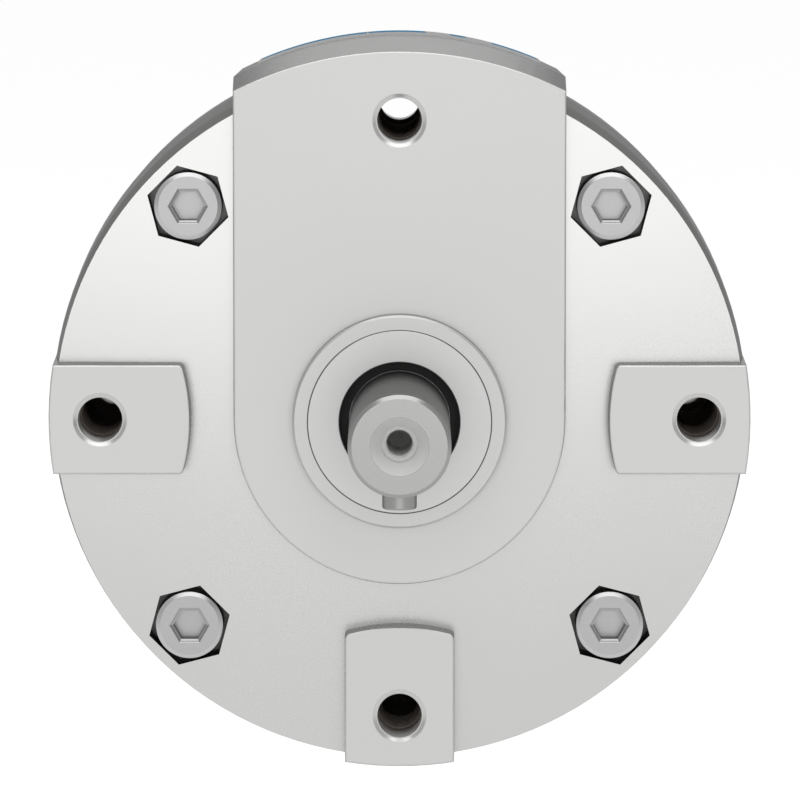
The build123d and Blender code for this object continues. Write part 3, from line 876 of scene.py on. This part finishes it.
def thread_mesh(name, radius, pitch, length, ridge, slot):
    """A thread's ridge about the Y axis, from depth 0 to its length."""
    tree = bpy.data.node_groups.get("thread_ridge") or thread_tree()
    mesh = grown(name, tree, {
        "Turns": length / pitch, "Radius": radius, "Length": length, "Ridge": ridge,
        "Finish": finishes()[slot]})
    mesh.transform(Matrix.Rotation(radians(-90), 4, "X"))
    return mesh


# Operators, one for each piece or group of like pieces

class ACTUATOR_OT_castings(bpy.types.Operator):
    """Finish the two cast halves of the body"""

    bl_idname = "actuator.castings"
    bl_label = "Cast housings"

    def execute(self, context):
        sizes = context.scene.actuator_sizes
        fall = sizes.rim_depth - sizes.face_depth
        radius = (sizes.rim_radius ** 2 + fall ** 2) / (2 * fall)
        front_centre = sizes.face_depth + radius
        rear_centre = body_depth() - front_centre
        for node in ("front_housing", "rear_housing"):
            true_normals(dressed(node), radius, (front_centre, rear_centre))
        return {"FINISHED"}


class ACTUATOR_OT_covers(bpy.types.Operator):
    """Finish the cover ring round the shaft and the cap at the rear"""

    bl_idname = "actuator.covers"
    bl_label = "Front cover and rear cap"

    def execute(self, context):
        edge = context.scene.actuator_sizes.edge_break
        for node in ("front_cover", "rear_cap"):
            dressed(node, edge=edge)
        return {"FINISHED"}


class ACTUATOR_OT_shaft(bpy.types.Operator):
    """Finish the output shaft and its feather key, and cut the thread in its tip"""

    bl_idname = "actuator.shaft"
    bl_label = "Shaft and key"

    def execute(self, context):
        sizes = context.scene.actuator_sizes
        true_normals(dressed("output_shaft"))
        dressed("feather_key", edge=sizes.key_edge)
        mesh = thread_mesh(
            "tip_thread", sizes.tip_thread_radius, sizes.tip_thread_pitch,
            TIP_THREAD_LENGTH, sizes.tip_thread_pitch * TIP_RIDGE, "steel")
        moved(mesh, 0, depth_of("output_shaft", 0) + TIP_THREAD_START, 0)
        carry(object_of(mesh, "tip_thread"), SHAFT_BODY, "steel")
        return {"FINISHED"}


class ACTUATOR_OT_screws(bpy.types.Operator):
    """Make the housing screws with sockets and threads"""

    bl_idname = "actuator.screws"
    bl_label = "Housing screws"

    def execute(self, context):
        sizes = context.scene.actuator_sizes
        top = depth_of("housing_screws", 0)
        end = depth_of("housing_screws", 1)
        seat = top + sizes.screw_head_height
        head = sizes.screw_head_radius
        shank = sizes.screw_radius
        floor = top + sizes.socket_depth
        rows = [(0, floor), (hexagon(sizes.socket_width), floor)]
        rows += [(hexagon(sizes.socket_width + wider), top + depth)
                 for wider, depth in SOCKET_STEPS]
        rows += [
            (head - SCREW_RIM, top),
            (head, top + SCREW_RIM * 0.55),
            (head, seat - SCREW_SEAT_EDGE),
            (head - SCREW_SEAT_EDGE, seat),
            (shank, seat),
            (shank, end - SCREW_END),
            (shank - SCREW_END, end),
            (0, end),
        ]
        mesh = copies_on_circle(
            "housing_screws_cut", revolved("screw", rows), sizes.copies, sizes.screw_circle,
            SCREW_TURN, "plated_steel")
        screws = object_of(mesh, "housing_screws_cut")
        soften(screws)
        true_normals(screws)
        carry(screws, BODY, "plated_steel")
        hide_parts("housing_screws")

        ridge = thread_mesh(
            "screw_ridge", shank, sizes.screw_pitch, SCREW_THREAD_LENGTH,
            SCREW_THREAD_RIDGE, "plated_steel")
        start = end - SCREW_THREAD_LENGTH - SCREW_THREAD_END
        mesh = copies_on_circle(
            "screw_threads", moved(ridge, 0, start, 0), sizes.copies, sizes.screw_circle,
            SCREW_TURN, "plated_steel")
        carry(object_of(mesh, "screw_threads"), BODY, "plated_steel")
        return {"FINISHED"}


class ACTUATOR_OT_nuts(bpy.types.Operator):
    """Make the hexagon nuts in the rear pockets"""

    bl_idname = "actuator.nuts"
    bl_label = "Housing nuts"

    def execute(self, context):
        sizes = context.scene.actuator_sizes
        front = depth_of("housing_nuts", 0)
        rear = depth_of("housing_nuts", 1)
        flats = hexagon(sizes.nut_width)
        crown = sizes.nut_width * NUT_FACE
        drop = (sizes.nut_width / 2 / cos(pi / 6) - crown) * tan(radians(NUT_SLOPE))
        bore = sizes.screw_radius

        def corner_cut(angle):
            return min(flats(angle), crown + 0.01 * MM)

        rows = [
            (bore, front + NUT_LEAD_DEPTH),
            (bore + NUT_LEAD_WIDTH, front),
            (corner_cut, front),
            (flats, front + drop),
            (flats, rear - drop),
            (corner_cut, rear),
            (bore + NUT_LEAD_WIDTH, rear),
            (bore, rear - NUT_LEAD_DEPTH),
            (bore, front + NUT_LEAD_DEPTH),
        ]
        mesh = copies_on_circle(
            "housing_nuts_cut", revolved("nut", rows, NUT_SEGMENTS), sizes.copies,
            sizes.screw_circle, SCREW_TURN, "plated_steel")
        nuts = object_of(mesh, "housing_nuts_cut")
        soften(nuts)
        carry(nuts, BODY, "plated_steel")
        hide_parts("housing_nuts")
        return {"FINISHED"}


class ACTUATOR_OT_threads(bpy.types.Operator):
    """Cut the threads of the mounting holes and of the air ports"""

    bl_idname = "actuator.threads"
    bl_label = "Housing threads"

    def execute(self, context):
        sizes = context.scene.actuator_sizes
        rear = body_depth()
        ridge = thread_mesh(
            "mount_ridge", sizes.mount_radius, sizes.mount_pitch, MOUNT_THREAD_LENGTH,
            sizes.mount_pitch * MOUNT_RIDGE, "casting")
        starts = {
            "front_mount_threads": sizes.mount_thread_start,
            "rear_mount_threads": rear - sizes.mount_thread_start - MOUNT_THREAD_LENGTH,
        }
        for name, start in starts.items():
            mesh = copies_on_circle(
                name, moved(ridge.copy(), 0, start, 0), sizes.copies, sizes.screw_circle,
                0.0, "casting")
            carry(object_of(mesh, name), BODY, "casting")
        bpy.data.meshes.remove(ridge)

        ridge = thread_mesh(
            "port_ridge", sizes.port_radius, sizes.port_pitch, PORT_THREAD_LENGTH,
            sizes.port_pitch * PORT_RIDGE, "casting")
        start = rear - PORT_THREAD_START - PORT_THREAD_LENGTH
        for mount in frame["record"]["mounts"]:
            if mount["name"].endswith("air_port"):
                x, _, z = mount["pos_m"]
                mesh = moved(ridge.copy(), x, start, z)
                carry(object_of(mesh, mount["name"] + "_thread"), BODY, "casting")
        bpy.data.meshes.remove(ridge)
        return {"FINISHED"}


class ACTUATOR_OT_label(bpy.types.Operator):
    """Finish the blank label on top of the rear housing"""

    bl_idname = "actuator.label"
    bl_label = "Label"

    def execute(self, context):
        true_normals(dressed("label"))
        return {"FINISHED"}


class ACTUATOR_OT_chamber(bpy.types.Operator):
    """Finish the vane, the fixed stop and what belongs to them"""

    bl_idname = "actuator.chamber"
    bl_label = "Vane chamber"

    def execute(self, context):
        for node in ("rotor_vane", "vane_seal", "fixed_stop", "stop_seal", "stop_cushions",
                     "stop_pins", "rotor_key", "locating_pins", "joint_seal",
                     "front_shaft_seal", "rear_shaft_seal", "dust_seal"):
            dressed(node)
        dressed("retaining_ring", edge=context.scene.actuator_sizes.edge_break)
        return {"FINISHED"}


class ACTUATOR_OT_bearings(bpy.types.Operator):
    """Make the balls and finish the rings and cages of both bearings"""

    bl_idname = "actuator.bearings"
    bl_label = "Ball bearings"

    def execute(self, context):
        for place in ("front", "rear"):
            for part in ("outer_ring", "inner_ring", "cage"):
                dressed(f"{place}_bearing_{part}")
            node = f"{place}_bearing_balls"
            low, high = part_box(node)
            radius = (high.y - low.y) / 2
            rows = []
            for row in range(BALL_ROWS + 1):
                angle = pi * row / BALL_ROWS
                reach = radius * sin(angle) if 0 < row < BALL_ROWS else 0
                rows.append((reach, (low.y + high.y) / 2 - radius * cos(angle)))
            mesh = copies_on_circle(
                node + "_ground", revolved("ball", rows, BALL_SEGMENTS), BALLS,
                high.x - radius, 0.0, "bearing_steel")
            balls = object_of(mesh, node + "_ground")
            balls.data.shade_smooth()
            carry(balls, body_of_node(node), "bearing_steel")
            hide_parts(node)
        return {"FINISHED"}


# The stage

def set_camera(scene, studio):
    """The camera at the photo's angle."""
    target = Vector((TARGET_SIDE, 0, studio.target_height))
    back = Vector((0, -cos(studio.camera_rise), sin(studio.camera_rise)))
    camera = bpy.data.cameras.new("photo_camera")
    camera.sensor_width = SENSOR_WIDTH
    camera.lens = studio.camera_lens
    camera.clip_start = 0.01
    camera.clip_end = 100.0
    holder = object_of(camera, "photo_camera")
    holder.location = target + back * studio.camera_distance
    holder.rotation_euler = (-back).to_track_quat("-Z", "Y").to_euler()
    scene.camera = holder


def lay_floor(studio):
    """A pale floor that looks white where no shadow falls."""
    level = cad_box[0][2] - studio.floor_drop
    corners = [(x * FLOOR_HALF, y * FLOOR_HALF, level)
               for x, y in ((-1, -1), (1, -1), (1, 1), (-1, 1))]
    mesh = bpy.data.meshes.new("floor")
    mesh.from_pydata(corners, [], [(0, 1, 2, 3)])
    floor = object_of(mesh, "floor")
    paper = Finish("studio_floor", 0.9, 0.0)
    speck = paper.noise(paper.place, 40.0, 2.0, 0.5)
    paper.set("Base Color", paper.blend(speck, (0.86, 0.86, 0.86), (0.88, 0.88, 0.88)))
    rays = paper.add("ShaderNodeLightPath").outputs
    seen = Amount(paper, rays["Is Camera Ray"]).larger(
        Amount(paper, rays["Is Transmission Ray"]))
    mirrored = Amount(paper, rays["Is Glossy Ray"])
    glow = paper.add("ShaderNodeEmission", {}, {
        "Color": (1, 1, 1, 1),
        "Strength": seen * studio.floor_glow + mirrored * studio.floor_mirror})
    both = paper.add("ShaderNodeAddShader", {}, {
        0: paper.shader.outputs[0], 1: glow.outputs[0]})
    feed(paper.tree, paper.output.inputs["Surface"], both.outputs[0])
    floor.data.materials.append(paper.material)


def light_room(scene, studio):
    """A room that looks white, lights softly and is grey in metal."""
    world = bpy.data.worlds.new("room")
    scene.world = world
    world.use_nodes = True
    tree = world.node_tree
    tree.nodes.clear()
    rays = node_in(tree, "ShaderNodeLightPath").outputs
    seen = node_in(tree, "ShaderNodeMath", {
        0: rays["Is Camera Ray"], 1: rays["Is Transmission Ray"]}, {"operation": "MAXIMUM"})
    mirrored = node_in(tree, "ShaderNodeMapRange", {
        "Value": rays["Is Glossy Ray"], "To Min": studio.ambient,
        "To Max": studio.room_mirror})
    strength = node_in(tree, "ShaderNodeMath", {
        0: seen.outputs[0], 1: mirrored.outputs[0]}, {"operation": "MAXIMUM"})
    sky = node_in(tree, "ShaderNodeBackground", {
        "Color": (1, 1, 1, 1), "Strength": strength.outputs[0]})
    node_in(tree, "ShaderNodeOutputWorld", {"Surface": sky.outputs[0]})


def hang_lamp(name, place, target, width, height, power):
    """A soft area lamp that the camera doesn't see."""
    lamp = bpy.data.lights.new(name, "AREA")
    lamp.shape = "RECTANGLE"
    lamp.size = width
    lamp.size_y = height
    lamp.energy = power
    holder = object_of(lamp, name)
    holder.location = place
    holder.rotation_euler = (Vector(target) - Vector(place)).to_track_quat("-Z", "Y").to_euler()
    holder.visible_camera = False


class ACTUATOR_OT_studio(bpy.types.Operator):
    """Set up the floor, the lamps, the room and the camera"""

    bl_idname = "actuator.studio"
    bl_label = "Studio"

    def execute(self, context):
        scene = context.scene
        studio = scene.actuator_studio
        scene.view_settings.view_transform = "Standard"
        set_camera(scene, studio)
        lay_floor(studio)
        light_room(scene, studio)
        for name, place, target, width, height, setting in LAMPS:
            hang_lamp(name, place, target, width, height, getattr(studio, setting))
        return {"FINISHED"}


class ACTUATOR_PT_panel(bpy.types.Panel):
    """Lists the steps and sizes of the actuator"""

    bl_idname = "ACTUATOR_PT_panel"
    bl_label = "Rotary actuator"
    bl_space_type = "VIEW_3D"
    bl_region_type = "UI"
    bl_category = "Actuator"

    def draw(self, context):
        layout = self.layout
        for operator in STEPS:
            layout.operator(operator.bl_idname)
        for name, kind in GROUPS.items():
            box = layout.box()
            for setting in kind.__annotations__:
                box.prop(getattr(context.scene, name), setting)


GROUPS = {
    "actuator_sizes": ActuatorSizes,
    "actuator_colours": ActuatorColours,
    "actuator_studio": StudioSettings,
}
STEPS = (
    ACTUATOR_OT_castings,
    ACTUATOR_OT_covers,
    ACTUATOR_OT_shaft,
    ACTUATOR_OT_screws,
    ACTUATOR_OT_nuts,
    ACTUATOR_OT_threads,
    ACTUATOR_OT_label,
    ACTUATOR_OT_chamber,
    ACTUATOR_OT_bearings,
    ACTUATOR_OT_studio,
)


def register():
    for kind in (*GROUPS.values(), *STEPS, ACTUATOR_PT_panel):
        bpy.utils.register_class(kind)
    for name, kind in GROUPS.items():
        setattr(bpy.types.Scene, name, PointerProperty(type=kind))


def unregister():
    for name in GROUPS:
        delattr(bpy.types.Scene, name)
    for kind in (ACTUATOR_PT_panel, *reversed(STEPS), *reversed(GROUPS.values())):
        bpy.utils.unregister_class(kind)


def main():
    """Makes every piece in order."""
    register()
    for step in STEPS:
        group, name = step.bl_idname.split(".")
        getattr(getattr(bpy.ops, group), name)()


if __name__ == "__main__":
    main()
